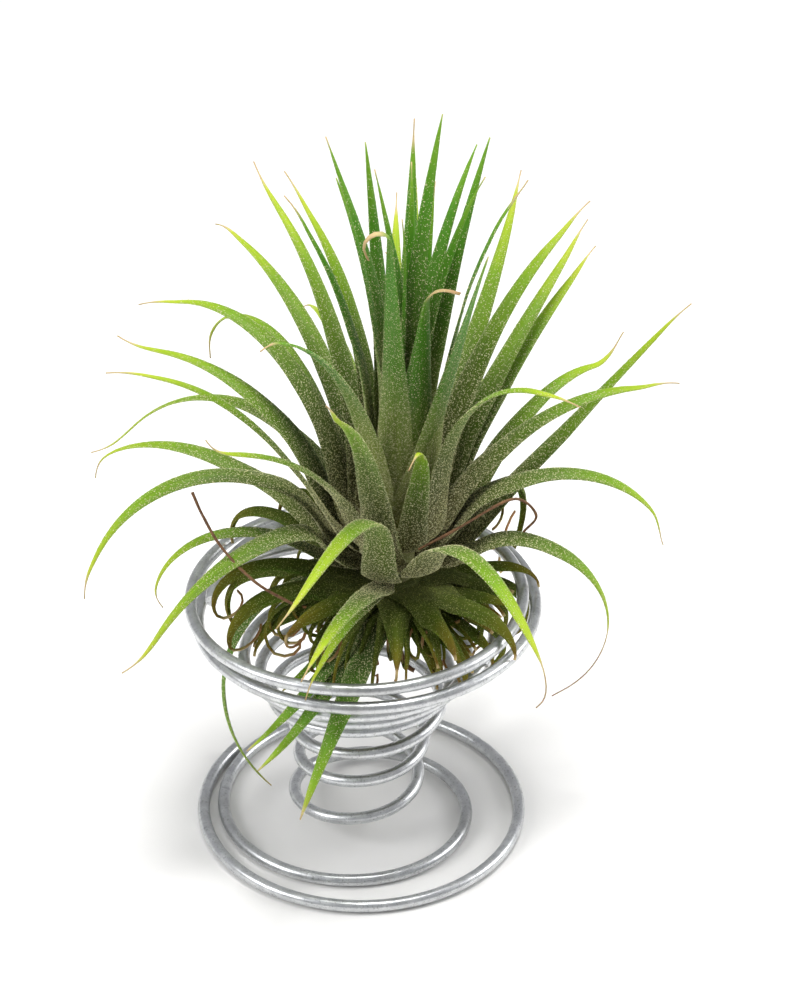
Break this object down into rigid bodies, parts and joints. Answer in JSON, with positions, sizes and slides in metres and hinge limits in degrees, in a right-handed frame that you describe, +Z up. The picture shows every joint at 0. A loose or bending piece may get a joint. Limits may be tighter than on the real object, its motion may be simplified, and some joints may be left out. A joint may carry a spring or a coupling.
{
  "type": "air plant in a wire stand",
  "caption": "Air plant with a rosette of narrow channelled leaves over a skirt of withered ones, resting in a cone of spirally wound wire with a flat ring foot",
  "frame": {"origin": "middle of the object's box, at the height of the surface that it stands on", "axes": "+Z up; +X the plant's right as seen from its front; the front faces -Y"},
  "size_m": [0.0992, 0.1062, 0.133],
  "materials": {
    "galvanised_wire": "satin",
    "living_leaf": "matt with silvery scales",
    "withered_leaf": "matt",
    "dry_root": "matt"
  },
  "bodies": {
    "root": {"crown": "living_leaf", "dry_roots": "dry_root", "hanging_leaf_h01": "living_leaf", "hanging_leaf_h02": "living_leaf", "hanging_leaf_h03": "living_leaf", "hanging_leaf_h04": "living_leaf", "hanging_leaf_h05": "living_leaf", "leaf_a03": "living_leaf", "leaf_a06": "living_leaf", "leaf_a07": "living_leaf", "leaf_a08": "living_leaf", "leaf_a09": "living_leaf", "leaf_a10": "living_leaf", "leaf_a11": "living_leaf", "leaf_a12": "living_leaf", "leaf_a13": "living_leaf", "leaf_a14": "living_leaf", "leaf_a15": "living_leaf", "leaf_a16": "living_leaf", "leaf_a17": "living_leaf", "leaf_a18": "living_leaf", "leaf_a19": "living_leaf", "leaf_a20": "living_leaf", "leaf_a21": "living_leaf", "leaf_a22": "living_leaf", "leaf_a23": "living_leaf", "leaf_a24": "living_leaf", "leaf_a25": "living_leaf", "leaf_a26": "living_leaf", "leaf_a27": "living_leaf", "leaf_a28": "living_leaf", "leaf_a29": "living_leaf", "leaf_a30": "living_leaf", "leaf_a31": "living_leaf", "leaf_a32": "living_leaf", "leaf_a33": "living_leaf", "leaf_a34": "living_leaf", "leaf_a35": "living_leaf", "leaf_a36": "living_leaf", "leaf_a37": "living_leaf", "leaf_a38": "living_leaf", "wire_stand": "galvanised_wire", "withered_leaves": "withered_leaf"}
  },
  "joints": []
}
